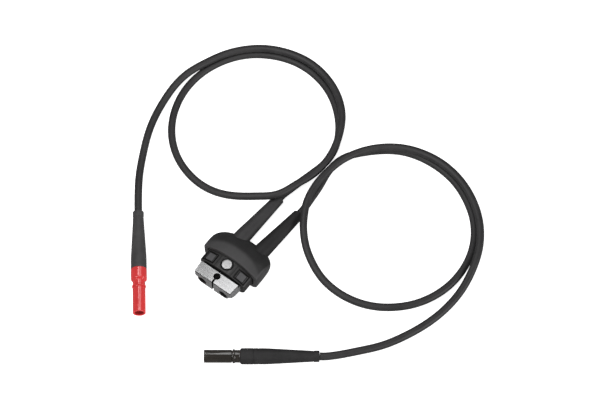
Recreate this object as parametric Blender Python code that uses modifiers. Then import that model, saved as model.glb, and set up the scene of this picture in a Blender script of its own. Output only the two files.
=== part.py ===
# Two-lead test adapter: a moulded head with a steel-faced socket block, a
# sprung release button, and two leads that end in shrouded 4 mm plugs.
#
# Frame: +Z up, the table is Z = 0.  X runs across the head, Y from the socket
# face (-Y) to the cable boots (+Y).  The origin is under the middle of the head.
# All sizes below are in millimetres and are turned into metres by MM.

import math
import bpy
import bmesh
import numpy as np
from mathutils import Matrix, Vector

MM = 0.001
GAP = 0.3            # clearance between touching pieces

# ------------------------------------------------------------------ head ----
HEAD_FRONT_Y = -24.0
HEAD_REAR_Y = 24.0
HOOD_HALF_W = 24.4
HOOD_TOP_Z = 25.0
HOOD_ARCH_R = 60.0       # radius of the hood's arch, seen from the front
HOOD_FOOT_R = 10.0       # round under the hood's sides
CREASE = 2.6             # soft edge between the arch and the side walls
LIP_Y = -1.25            # front edge of the hood at the middle
LIP_SWEEP = 1.7          # how far the lip's ends come forward

INSERT_FRONT_Y = -12.5
INSERT_HALF_W = 20.2
INSERT_ARCH_R = 48.0
INSERT_FOOT_R = 7.0
INSERT_CREASE = 1.6
INSERT_TOP_Z = 22.0
INSERT_BOTTOM_Z = 4.4
INSERT_REAR_Y = 5.0

BLOCK_HALF_W_FRONT = 16.2
BLOCK_HALF_W_REAR = 16.9
BLOCK_REAR_Y = -12.8
BLOCK_BOTTOM_Z = 8.4
PLATE_TOP_Z = 21.9
PLATE_THICK = 1.0
PLATE_REAR_Y = -14.9

SOCKET_PITCH = 19.05     # standard spacing of a pair of 4 mm sockets
SOCKET_Z = 12.6
SOCKET_BORE = 7.0        # bore in the block
SLEEVE_OUTER = 6.4
SLEEVE_INNER = 5.2
CONTACT_OUTER = 4.6
CONTACT_INNER = 4.0

KEY_HOLE_Y = -18.2
KEY_HOLE_DIA = 5.3
KEY_SLIT = 1.5

BUTTON_Y = -6.3
BUTTON_DIA = 7.8
BUTTON_TOP_Z = 22.5
BUTTON_TRAVEL = 1.2
BEZEL_OUTER = 9.4
BEZEL_INNER = 8.4
STEM_DIA = 3.0

# ----------------------------------------------------------------- leads ----
CABLE_DIA = 5.8
CABLE_REST_Z = 3.0       # centre height of a lead lying on the table
CORD_GAP = 0.5           # between a lead's end and its boots
CABLE_PITCH_GAP = 0.4    # air between a lead and the one it rides over
BOOT_ROOT_DIA = 12.4
BOOT_TIP_DIA = 8.6
BOOT_START = {"left": (-9.9, 8.2, 9.0), "right": (8.6, 8.2, 9.0)}
BOOT_TIP = {"left": (-7.5, 66.4, 4.7), "right": (12.3, 64.2, 4.7)}

# ----------------------------------------------------------------- plugs ----
PLUG_LEN = 83.0
SHROUD_DIA = 9.4
SHROUD_LEN = 20.0
SHROUD_WALL = 1.3
NECK_END = 26.6
COLLAR_DIA = 11.8
COLLAR_END = 35.6
PLUG_BOOT_TIP_DIA = 8.3
PIN_DIA = 3.0
CAGE_DIA = 4.0
# mouth of the shroud and end of the boot, on the plug's axis
PLUG_AXIS = {
    "black": ((26.4, -68.9, 6.4), (92.9, -19.5, 5.7)),
    "red": ((-32.5, -70.1, 6.4), (-85.8, -5.0, 5.7)),
}

# Routes of the two leads on the table, from the head's boot to the plug's boot.
# Each makes one full loop and then lies over its own first lap.
ROUTE_LEFT = [
    (-6.6, 75), (-3.9, 86.5), (-0.2, 102), (1.8, 114), (0.6, 126.5), (-4.8, 139.5),
    (-13.5, 151), (-27.8, 162.8), (-44, 170), (-60.5, 172.4), (-76, 170.5),
    (-90, 165), (-102, 157), (-111.8, 146.3), (-119.2, 133), (-123.6, 117.5),
    (-124, 100), (-119.2, 81.5), (-109, 64.5), (-94, 51.4), (-76.5, 44),
    (-58.4, 42), (-41.6, 44.6), (-28, 50.6), (-18.6, 56.6), (-10.6, 63.2),
    (-5.3, 71.6), (-2, 82), (1.2, 93), (3.3, 104.5), (3.3, 116), (0.8, 128.5),
    (-5.6, 144), (-13.7, 155.5), (-28, 167), (-46.8, 174.2), (-64, 175.4),
    (-80.5, 171.8), (-95, 164.8), (-107, 154.8), (-116.8, 142.2), (-124, 127.4),
    (-129.6, 112), (-131.9, 95), (-130.2, 77), (-124.5, 57), (-115, 37),
    (-102.7, 16.7),
]
ROUTE_RIGHT = [
    (12.3, 74), (11.5, 84), (10.4, 94.5), (8.6, 105), (8.3, 114.5), (11.5, 126.5),
    (19.5, 137.2), (30, 147.3), (43.2, 155.8), (58.5, 160.3), (74.8, 161),
    (91.5, 157.8), (107.4, 150), (121.5, 138.3), (131.9, 122.4), (136.8, 104.5),
    (136.6, 86.7), (132.2, 70.8), (124.4, 57), (114, 46), (101.8, 37.7),
    (87.5, 32.5), (72.2, 31), (56, 33.7), (40.3, 40.8), (30.6, 48),
    (22.8, 56.8), (17.2, 65.5), (13, 74), (10.2, 85), (9.2, 97), (9.9, 107),
    (12.2, 119), (19.1, 133.5), (30, 146.4), (43.5, 155.9), (59, 161.3),
    (76.4, 162.7), (94, 159.3), (110.9, 151.2), (125.8, 138.7), (137, 122.5),
    (143.2, 105), (145.8, 86), (144.5, 65.5), (139.4, 46), (130.5, 26),
    (118.7, 8),
]


# ============================================================== helpers ====
def clear_scene():
    for ob in list(bpy.data.objects):
        bpy.data.objects.remove(ob, do_unlink=True)
    for col in list(bpy.data.collections):
        bpy.data.collections.remove(col)


clear_scene()
PARTS = bpy.data.collections.new("two_lead_test_adapter")
CUTTERS = bpy.data.collections.new("cutters")
bpy.context.scene.collection.children.link(PARTS)
bpy.context.scene.collection.children.link(CUTTERS)


def material(name, rgb, roughness, metallic=0.0):
    m = bpy.data.materials.new(name)
    m.use_nodes = True
    b = m.node_tree.nodes["Principled BSDF"]
    b.inputs["Base Color"].default_value = (*rgb, 1.0)
    b.inputs["Roughness"].default_value = roughness
    b.inputs["Metallic"].default_value = metallic
    m.diffuse_color = (*rgb, 1.0)
    return m


RUBBER = ((0.045, 0.045, 0.048), 0.62, 0.0)
PLASTIC = ((0.035, 0.036, 0.038), 0.45, 0.0)
INLAY = ((0.055, 0.055, 0.065), 0.5, 0.0)
DARK = ((0.02, 0.02, 0.022), 0.5, 0.0)
STEEL = ((0.72, 0.73, 0.74), 0.28, 1.0)
BLOCK = ((0.22, 0.22, 0.23), 0.45, 0.6)
BRASS = ((0.70, 0.52, 0.22), 0.3, 1.0)
NICKEL = ((0.66, 0.65, 0.62), 0.25, 1.0)
RED = ((0.55, 0.03, 0.035), 0.3, 0.0)


def link(ob, col):
    for c in list(ob.users_collection):
        c.objects.unlink(ob)
    col.objects.link(ob)


def new_object(name, mesh, col=None):
    ob = bpy.data.objects.new(name, mesh)
    (col or PARTS).objects.link(ob)
    return ob


def finish(ob, look, angle=32.0):
    """Give a part its material and smooth shading with sharp edges kept."""
    ob.data.materials.clear()
    ob.data.materials.append(material(ob.name + "_mat", *look))
    if isinstance(ob.data, bpy.types.Mesh):
        ob.data.shade_smooth()
        ob.data.set_sharp_from_angle(angle=math.radians(angle))
    return ob


def as_cutter(ob):
    link(ob, CUTTERS)
    ob.hide_render = True
    ob.display_type = "WIRE"
    return ob


def box(name, lo, hi, col=None):
    """A box between two corners, in millimetres."""
    bm = bmesh.new()
    bmesh.ops.create_cube(bm, size=1.0)
    lo, hi = Vector(lo) * MM, Vector(hi) * MM
    size, mid = hi - lo, (hi + lo) / 2
    bmesh.ops.scale(bm, vec=size, verts=bm.verts)
    bmesh.ops.translate(bm, vec=mid, verts=bm.verts)
    me = bpy.data.meshes.new(name)
    bm.to_mesh(me)
    bm.free()
    return new_object(name, me, col)


def cylinder(name, p0, p1, r0, r1=None, segments=32, col=None):
    """A round bar or cone from p0 to p1, in millimetres."""
    r1 = r0 if r1 is None else r1
    p0, p1 = Vector(p0) * MM, Vector(p1) * MM
    axis = p1 - p0
    bm = bmesh.new()
    bmesh.ops.create_cone(bm, cap_ends=True, segments=segments,
                          radius1=r0 * MM, radius2=r1 * MM, depth=axis.length)
    me = bpy.data.meshes.new(name)
    bm.to_mesh(me)
    bm.free()
    ob = new_object(name, me, col)
    ob.matrix_world = Matrix.Translation((p0 + p1) / 2) @ axis.to_track_quat("Z", "Y").to_matrix().to_4x4()
    return ob


def turned(name, profile, p0, p1, steps=28, col=None):
    """A turned piece.  profile is [(radius, height)] down the outer side; it is
    spun about local Z by a Screw modifier and set along the line p0 to p1."""
    bm = bmesh.new()
    vs = [bm.verts.new((r * MM, 0.0, h * MM)) for r, h in profile]
    for a, b in zip(vs, vs[1:]):
        bm.edges.new((a, b))
    if profile[0][0] > 0.0 and profile[-1][0] > 0.0:
        bm.edges.new((vs[-1], vs[0]))
    me = bpy.data.meshes.new(name)
    bm.to_mesh(me)
    bm.free()
    ob = new_object(name, me, col)
    s = ob.modifiers.new("Screw", "SCREW")
    s.axis = "Z"
    s.angle = 2 * math.pi
    s.steps = steps
    s.render_steps = steps
    s.use_merge_vertices = True
    s.merge_threshold = 0.00001
    s.use_smooth_shade = True
    p0, p1 = Vector(p0) * MM, Vector(p1) * MM
    ob.matrix_world = Matrix.Translation(p0) @ (p1 - p0).to_track_quat("Z", "Y").to_matrix().to_4x4()
    return ob


def cut(ob, cutter, op="DIFFERENCE"):
    m = ob.modifiers.new("Bool", "BOOLEAN")
    m.operation = op
    m.solver = "EXACT"
    m.object = cutter
    return m


def bevel(ob, width, segments=2, angle=40.0):
    m = ob.modifiers.new("Bevel", "BEVEL")
    m.width = width * MM
    m.segments = segments
    m.limit_method = "ANGLE"
    m.angle_limit = math.radians(angle)
    m.harden_normals = False
    return m


def loft(name, rings, col=None):
    """A closed skin through rings with the same number of points, end caps
    included.  The rings run along +Y and each turns the same way."""
    bm = bmesh.new()
    rows = [[bm.verts.new((x * MM, y * MM, z * MM)) for x, y, z in ring] for ring in rings]
    n = len(rows[0])
    for a, b in zip(rows, rows[1:]):
        for i in range(n):
            j = (i + 1) % n
            bm.faces.new((a[i], b[i], b[j], a[j]))
    bm.faces.new(rows[0])
    bm.faces.new(list(reversed(rows[-1])))
    bmesh.ops.recalc_face_normals(bm, faces=bm.faces)
    me = bpy.data.meshes.new(name)
    bm.to_mesh(me)
    bm.free()
    return new_object(name, me, col)


def section(y, half_w, top_z, bottom_z, arch_r, foot_r, crease, sweep=0.0, n=18):
    """Section across the head: a shallow arch, a soft edge, an upright wall and
    a round foot on a flat base."""
    def arch(x):
        return top_z - arch_r + math.sqrt(arch_r ** 2 - x * x)

    xe = half_w - crease
    right = []
    for k in range(5):
        t = k / 4
        a, c, b = (half_w, arch(half_w) - crease), (half_w, arch(half_w)), (xe, arch(xe))
        right.append(tuple((1 - t) ** 2 * p + 2 * t * (1 - t) * q + t * t * r for p, q, r in zip(a, c, b)))
    top = [(xe * (1 - 2 * k / n), arch(xe * (1 - 2 * k / n))) for k in range(1, n)]
    left = [(-x, z) for x, z in reversed(right)]
    foot = []
    for k in range(6):
        a = math.radians(180 + 18 * k)
        foot.append((-half_w + foot_r + foot_r * math.cos(a), bottom_z + foot_r + foot_r * math.sin(a)))
    foot += [(-x, z) for x, z in reversed(foot)]
    return [(x, y - sweep * (x / HOOD_HALF_W) ** 2, z) for x, z in right + top + left + foot]


def insert_section(y, grow=0.0, trim=0.0):
    """Outline of the insert, or of the pocket that holds it."""
    return section(y, INSERT_HALF_W + grow - trim, INSERT_TOP_Z + grow - trim, INSERT_BOTTOM_Z - grow + trim,
                   INSERT_ARCH_R, INSERT_FOOT_R, INSERT_CREASE)


def spline(points, step):
    """Smooth natural cubic through the points, sampled about every `step`."""
    p = np.array(points, dtype=float)
    t = np.concatenate([[0.0], np.cumsum(np.sqrt(np.linalg.norm(np.diff(p, axis=0), axis=1)))])
    n = len(p)
    h = np.diff(t)
    a = np.zeros((n, n))
    r = np.zeros_like(p)
    a[0, 0] = a[-1, -1] = 1.0
    for i in range(1, n - 1):
        a[i, i - 1] = h[i - 1]
        a[i, i] = 2 * (h[i - 1] + h[i])
        a[i, i + 1] = h[i]
        r[i] = 6 * ((p[i + 1] - p[i]) / h[i] - (p[i] - p[i - 1]) / h[i - 1])
    m = np.linalg.solve(a, r)
    out = []
    for i in range(n - 1):
        k = 40
        for j in range(k):
            u = t[i] + h[i] * j / k
            x, y = t[i + 1] - u, u - t[i]
            out.append((m[i] * x ** 3 + m[i + 1] * y ** 3) / (6 * h[i])
                       + (p[i] / h[i] - m[i] * h[i] / 6) * x
                       + (p[i + 1] / h[i] - m[i + 1] * h[i] / 6) * y)
    out.append(p[-1])
    return resample(np.array(out), step)


def resample(p, step):
    d = np.concatenate([[0.0], np.cumsum(np.linalg.norm(np.diff(p, axis=0), axis=1))])
    n = max(2, int(round(d[-1] / step)) + 1)
    s = np.linspace(0.0, d[-1], n)
    return np.stack([np.interp(s, d, p[:, k]) for k in range(p.shape[1])], axis=1)


def boot_axis(side):
    return np.array(BOOT_START[side]), np.array(BOOT_TIP[side])


def lay_cable(side, colour, route):
    """The lead's centreline.  In plan it follows the route.  It lies on the
    table, leaves each boot along the boot's axis, and where it meets its own
    first lap or a boot it rides over and comes down again at a gentle slope."""
    b0, b1 = boot_axis(side)
    out_dir = (b1 - b0) / np.linalg.norm(b1 - b0)
    mouth, end = (np.array(v) for v in PLUG_AXIS[colour])
    in_dir = (mouth - end) / np.linalg.norm(mouth - end)
    end = mouth - in_dir * PLUG_LEN
    start = b1 + out_dir * CORD_GAP
    stop = end - in_dir * CORD_GAP
    plan = [tuple(start[:2]), tuple((start + out_dir * 4.0)[:2])]
    plan += list(route)
    plan += [tuple((stop - in_dir * 5.0)[:2]), tuple(stop[:2])]
    p = spline(plan, 1.0)
    n = len(p)
    rest = np.full(n, CABLE_REST_Z)
    for i in range(min(n, 36)):
        w = 0.5 + 0.5 * math.cos(math.pi * i / 36)
        rest[i] += w * (start[2] - CABLE_REST_Z + out_dir[2] * min(i, 10))
        rest[n - 1 - i] += w * (stop[2] - CABLE_REST_Z - in_dir[2] * min(i, 10))
    need = rest.copy()
    pitch = CABLE_DIA + CABLE_PITCH_GAP
    for i in range(70, n):
        d = np.hypot(p[:i - 70 + 1, 0] - p[i, 0], p[:i - 70 + 1, 1] - p[i, 1])
        near = np.flatnonzero(d < pitch)
        if len(near):
            need[i] = max(need[i], (rest[near] + np.sqrt(pitch ** 2 - d[near] ** 2)).max())
    for t in np.linspace(0.25, 1.0, 60):
        c = b0 + (b1 - b0) * t
        reach = 0.5 * (BOOT_ROOT_DIA + (BOOT_TIP_DIA - BOOT_ROOT_DIA) * t) + CABLE_DIA / 2 + CABLE_PITCH_GAP
        d = np.hypot(p[:, 0] - c[0], p[:, 1] - c[1])
        for i in np.flatnonzero(d < reach):
            if i > 70:
                need[i] = max(need[i], c[2] + math.sqrt(reach ** 2 - d[i] ** 2))
    # the stiff lead can't follow a step: widen, limit the slope, then average
    z = np.array([need[max(0, i - 14):i + 15].max() for i in range(n)])
    for i in range(1, n):
        z[i] = max(z[i], z[i - 1] - 0.22)
    for i in range(n - 2, -1, -1):
        z[i] = max(z[i], z[i + 1] - 0.22)
    for _ in range(2):
        pad = np.concatenate([np.full(7, z[0]), z, np.full(7, z[-1])])
        z = np.convolve(pad, np.ones(15) / 15, mode="valid")
    # near the boots the lead keeps to its own settling line
    for i in range(36):
        w = 0.5 + 0.5 * math.cos(math.pi * i / 36)
        z[i] = w * rest[i] + (1 - w) * z[i]
        z[n - 1 - i] = w * rest[n - 1 - i] + (1 - w) * z[n - 1 - i]
    path = np.column_stack([p, z])
    path[0] = start
    path[-1] = stop
    return path


def tube(name, pts, radius, resolution=2):
    """A round cable: a poly curve with a round bevel and filled ends."""
    cu = bpy.data.curves.new(name, "CURVE")
    cu.dimensions = "3D"
    cu.bevel_depth = radius * MM
    cu.bevel_resolution = resolution
    cu.use_fill_caps = True
    cu.resolution_u = 1
    cu.render_resolution_u = 0
    sp = cu.splines.new("POLY")
    sp.points.add(len(pts) - 1)
    for q, v in zip(sp.points, pts):
        q.co = (v[0] * MM, v[1] * MM, v[2] * MM, 1.0)
    ob = bpy.data.objects.new(name, cu)
    PARTS.objects.link(ob)
    return ob


# ============================================================ the hood =====
# Half widths and heights of the hood's outside, front to back.
HOOD_SECTIONS = [
    (LIP_Y, 24.1, 24.5), (LIP_Y + 0.7, 24.4, 24.9), (3.0, 24.4, 25.0),
    (6.5, 24.4, 24.9), (8.6, 24.3, 24.2), (11.5, 24.1, 21.9), (14.5, 23.4, 19.2),
    (17.5, 21.8, 16.3), (20.0, 19.2, 13.6), (22.0, 15.8, 11.2), (23.3, 12.6, 9.6),
    (HEAD_REAR_Y, 9.6, 8.6),
]


def hood_ring(y, w, top):
    k = max(0.0, min(1.0, (12.0 - y) / 12.0))
    return section(y, w, top, 0.0, HOOD_ARCH_R, min(HOOD_FOOT_R, 0.5 * top), min(CREASE, 0.25 * top),
                   sweep=LIP_SWEEP * k)


hood = loft("grip_hood", [hood_ring(*s) for s in HOOD_SECTIONS])
# pocket for the insert, open at the lip
pocket = as_cutter(loft("hood_pocket", [insert_section(-6.0, GAP), insert_section(8.0, GAP)]))
cut(hood, pocket)
for side in ("left", "right"):
    q0, q1 = boot_axis(side)
    d = (q1 - q0) / np.linalg.norm(q1 - q0)
    a, b = q0 - d * 3.0, q0 + d * 22.0
    t = 22.0 / np.linalg.norm(q1 - q0)
    r0 = BOOT_ROOT_DIA / 2 + GAP + 0.1
    bore = as_cutter(cylinder("boot_bore_" + side, a, b, r0, r0, 28, CUTTERS))
    cut(hood, bore)
finish(hood, RUBBER)

# ========================================================== the insert =====
insert = loft("insert_body", [insert_section(INSERT_FRONT_Y, trim=0.5), insert_section(INSERT_FRONT_Y + 0.9),
                              insert_section(INSERT_REAR_Y)])
# rear chamber for the crimps and conductors
cut(insert, as_cutter(box("insert_chamber", (-16.0, -3.5, 6.4), (16.0, 9.0, 16.0), CUTTERS)))
for side, sx in (("left", -1), ("right", 1)):
    x = sx * SOCKET_PITCH / 2
    cut(insert, as_cutter(cylinder("insert_bore_" + side, (x, -20, SOCKET_Z), (x, 0, SOCKET_Z),
                                   SLEEVE_OUTER / 2 + GAP, None, 28, CUTTERS)))
    # shallow framed window for the inlay, following the arch
    w = as_cutter(box("window_" + side, (-3.3, -3.3, -1.3), (3.3, 3.3, 3.0), CUTTERS))
    w.matrix_world = (Matrix.Translation(Vector((sx * 14.1, -7.5, 19.85)) * MM)
                      @ Matrix.Rotation(math.radians(sx * 17.0), 4, "Y"))
    cut(insert, w)
    # groove beside the window, towards the button
    g = as_cutter(box("window_groove_" + side, (sx * 9.4 - 0.5, -11.8, 20.2), (sx * 9.4 + 0.5, -3.2, 24.0), CUTTERS))
    cut(insert, g)
# button well, stem hole and the bolt's channel
cut(insert, as_cutter(cylinder("button_well", (0, BUTTON_Y, 14.6), (0, BUTTON_Y, 26), BEZEL_OUTER / 2 + GAP, None, 36, CUTTERS)))
cut(insert, as_cutter(cylinder("stem_hole", (0, BUTTON_Y, 7.0), (0, BUTTON_Y, 16), STEM_DIA / 2 + 0.35, None, 24, CUTTERS)))
cut(insert, as_cutter(box("bolt_channel", (-2.9, -14.0, 10.4), (2.9, -2.9, 12.8), CUTTERS)))
finish(insert, PLASTIC)

# inlays in the windows
for side, sx in (("left", -1), ("right", 1)):
    pad = box("side_pad_" + side, (-3.0, -3.0, -0.95), (3.0, 3.0, 0.15))
    bevel(pad, 0.4, 2)
    pad.matrix_world = (Matrix.Translation(Vector((sx * 14.1, -7.5, 19.85)) * MM)
                        @ Matrix.Rotation(math.radians(sx * 17.0), 4, "Y"))
    finish(pad, INLAY)

# ========================================================== the block ======
def block_ring(y, w, half_low, z_shoulder):
    """Front view of the block: square top, shoulders that rise at the front,
    and lower corners that run round the sockets."""
    low, top, r = BLOCK_BOTTOM_Z, PLATE_TOP_Z - PLATE_THICK - GAP, 3.6
    rz = min(r, z_shoulder - 0.3 - low)
    half = [(w, top), (w, z_shoulder + 0.8), (w - 0.5, z_shoulder), (half_low + 0.5, z_shoulder - 0.2)]
    for k in range(6):
        a = math.radians(-18 * k)
        half.append((half_low - r + r * math.cos(a) + 0.5 * (1 - k / 5), low + rz + rz * math.sin(a)))
    ring = half + [(-x, z) for x, z in reversed(half)]
    return [(x, y, z) for x, z in ring]


block = loft("connector_block", [
    block_ring(HEAD_FRONT_Y, BLOCK_HALF_W_FRONT - 0.2, 13.5, 14.3),
    block_ring(HEAD_FRONT_Y + 0.5, BLOCK_HALF_W_FRONT, 13.6, 13.4),
    block_ring(HEAD_FRONT_Y + 1.7, BLOCK_HALF_W_FRONT + 0.1, 13.9, 11.3),
    block_ring(HEAD_FRONT_Y + 5.0, BLOCK_HALF_W_REAR - 0.4, 14.5, 9.4),
    block_ring(BLOCK_REAR_Y, BLOCK_HALF_W_REAR, 14.8, 9.2)])
for side, sx in (("left", -1), ("right", 1)):
    x = sx * SOCKET_PITCH / 2
    cut(block, as_cutter(cylinder("socket_bore_" + side, (x, -30, SOCKET_Z), (x, -8, SOCKET_Z),
                                  SOCKET_BORE / 2, None, 32, CUTTERS)))
cut(block, as_cutter(cylinder("key_bore", (0, KEY_HOLE_Y, 0), (0, KEY_HOLE_Y, 30), KEY_HOLE_DIA / 2, None, 32, CUTTERS)))
cut(block, as_cutter(box("key_slit", (-KEY_SLIT / 2, -30, 0), (KEY_SLIT / 2, KEY_HOLE_Y, 30), CUTTERS)))
cut(block, as_cutter(box("block_bolt_channel", (-2.9, -16.9, 10.4), (2.9, -10, 12.8), CUTTERS)))
# step behind the steel face, which leaves an open groove in front of the insert
cut(block, as_cutter(box("block_step", (-20, PLATE_REAR_Y, 17.4), (20, -10, 25), CUTTERS)))
finish(block, BLOCK)

# steel face on the block, with the keyhole through it
bm = bmesh.new()
zt, zb = PLATE_TOP_Z, PLATE_TOP_Z - PLATE_THICK
corners = [(-BLOCK_HALF_W_FRONT, HEAD_FRONT_Y), (BLOCK_HALF_W_FRONT, HEAD_FRONT_Y),
           (BLOCK_HALF_W_REAR, PLATE_REAR_Y), (-BLOCK_HALF_W_REAR, PLATE_REAR_Y)]
base = bm.faces.new([bm.verts.new((x * MM, y * MM, zb * MM)) for x, y in corners])
ext = bmesh.ops.extrude_face_region(bm, geom=[base])
bmesh.ops.translate(bm, vec=(0, 0, PLATE_THICK * MM),
                    verts=[v for v in ext["geom"] if isinstance(v, bmesh.types.BMVert)])
bmesh.ops.recalc_face_normals(bm, faces=bm.faces)
me = bpy.data.meshes.new("top_plate")
bm.to_mesh(me)
bm.free()
plate = new_object("top_plate", me)
bevel(plate, 0.35, 2)
cut(plate, as_cutter(cylinder("plate_key_bore", (0, KEY_HOLE_Y, 15), (0, KEY_HOLE_Y, 30), KEY_HOLE_DIA / 2, None, 32, CUTTERS)))
cut(plate, as_cutter(box("plate_key_slit", (-KEY_SLIT / 2, -30, 15), (KEY_SLIT / 2, KEY_HOLE_Y, 30), CUTTERS)))
finish(plate, STEEL)

# ======================================================== the sockets ======
for side, sx in (("left", -1), ("right", 1)):
    x = sx * SOCKET_PITCH / 2
    ro, ri = SLEEVE_OUTER / 2, SLEEVE_INNER / 2
    # black liner, a little back from the block's face
    sleeve = turned("socket_sleeve_" + side,
                    [(ro, 19.3), (ro, 0.0), (ri, 0.0), (ri, 19.0), (ri + 0.3, 19.3)],
                    (x, HEAD_FRONT_Y + 19.6, SOCKET_Z), (x, HEAD_FRONT_Y, SOCKET_Z), 28)
    finish(sleeve, DARK)
    co, ci = CONTACT_OUTER / 2, CONTACT_INNER / 2
    # tube contact, closed web, then an open crimp barrel at the back
    contact = turned("socket_contact_" + side,
                     [(co, 24.5), (co, 6.0), (1.9, 5.6), (1.9, 0.0), (1.45, 0.0), (1.45, 4.6),
                      (0.5, 5.4), (0.5, 7.6), (ci, 8.2), (ci, 24.5)],
                     (x, HEAD_FRONT_Y + 26.5, SOCKET_Z), (x, HEAD_FRONT_Y, SOCKET_Z), 24)
    finish(contact, BRASS)

# ======================================================== the button =======
bz = BUTTON_TOP_Z
button = turned("release_button",
                [(0.0, 0.0), (3.5, 0.0), (3.8, -0.12), (BUTTON_DIA / 2, -0.4), (BUTTON_DIA / 2, -2.3),
                 (STEM_DIA / 2, -2.3), (STEM_DIA / 2, -12.4), (1.0, -13.2), (0.0, -13.2)],
                (0, BUTTON_Y, bz), (0, BUTTON_Y, bz + 1), 36)
finish(button, STEEL)
bezel = turned("button_bezel",
               [(BEZEL_INNER / 2 + 0.15, 22.1), (BEZEL_OUTER / 2 - 0.2, 22.1), (BEZEL_OUTER / 2, 21.9),
                (BEZEL_OUTER / 2, 17.4), (BEZEL_INNER / 2, 17.4), (BEZEL_INNER / 2, 21.9)],
               (0, BUTTON_Y, 0), (0, BUTTON_Y, 1), 36)
finish(bezel, DARK)
# ------------------------------------------------------ springs, bolt ------
def coil(name, p0, p1, radius, wire, turns, per_turn=12):
    """A closed-end compression spring between two points on its axis."""
    p0, p1 = Vector(p0), Vector(p1)
    rot = (p1 - p0).to_track_quat("Z", "Y")
    length = (p1 - p0).length
    pts = []
    total = turns + 2.0
    for i in range(int(total * per_turn) + 1):
        u = i / per_turn
        if u < 1.0:
            h = wire * 1.08 * u
        elif u > total - 1.0:
            h = length - wire * 1.08 * (total - u)
        else:
            h = wire * 1.08 + (length - 2 * wire * 1.08) * (u - 1.0) / (total - 2.0)
        a = 2 * math.pi * u
        v = rot @ Vector((radius * math.cos(a), radius * math.sin(a), h)) + p0
        pts.append(tuple(v))
    return tube(name, pts, wire / 2, 0)


spring = coil("button_spring", (0, BUTTON_Y, 15.1), (0, BUTTON_Y, 19.7), 2.7, 0.5, 3.0)
finish(spring, STEEL)

# sliding bolt: its nose stands into the keyway's bore, its window holds the stem
bolt = box("latch_bolt", (-2.5, -16.6, 10.75), (2.5, -3.6, 12.45))
bevel(bolt, 0.3, 1)
cut(bolt, as_cutter(box("bolt_window", (-1.9, BUTTON_Y - 3.6, 8), (1.9, BUTTON_Y + 1.9, 14), CUTTERS)))
finish(bolt, STEEL)

# ================================================= boots and conductors ====
for side in ("left", "right"):
    q0, q1 = boot_axis(side)
    length = float(np.linalg.norm(q1 - q0))
    r0, r1 = BOOT_ROOT_DIA / 2, BOOT_TIP_DIA / 2
    bore = 1.9
    # from the tip (top) to the anchor flange inside the hood, then up the bore
    prof = [(r1 - 0.35, length), (r1, length - 0.5)]
    for k in range(1, 7):
        s = k / 7
        prof.append((r1 + (r0 - r1) * s, length - 0.5 - (length - 17.0) * s))
    prof += [(r0, 16.0), (r0, 0.4), (r0 - 0.4, 0.0), (bore, 0.0), (bore, length)]
    ob = turned("cable_boot_" + side, prof, q0, q1, 28)
    finish(ob, RUBBER)
    # conductor from the crimp barrel to the end of the boot
    sx = -1 if side == "left" else 1
    x = sx * SOCKET_PITCH / 2
    d = (q1 - q0) / length
    route = [(x, -1.2, SOCKET_Z), (x, 1.4, SOCKET_Z), (x, 3.4, SOCKET_Z - 0.5),
             tuple(q0 - d * 1.5), tuple(q0 + d * 2.5), tuple(q0 + d * 12), tuple(q1)]
    pts = spline(route, 2.2)
    finish(tube("inner_lead_" + side, pts, 1.15, 1), DARK)

# ============================================================ the leads ====
PATHS = {
    "left": lay_cable("left", "red", ROUTE_LEFT),
    "right": lay_cable("right", "black", ROUTE_RIGHT),
}
for side, path in PATHS.items():
    pts = resample(path, 10.2)
    finish(tube("cable_" + side, pts, CABLE_DIA / 2, 2), RUBBER)

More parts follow.
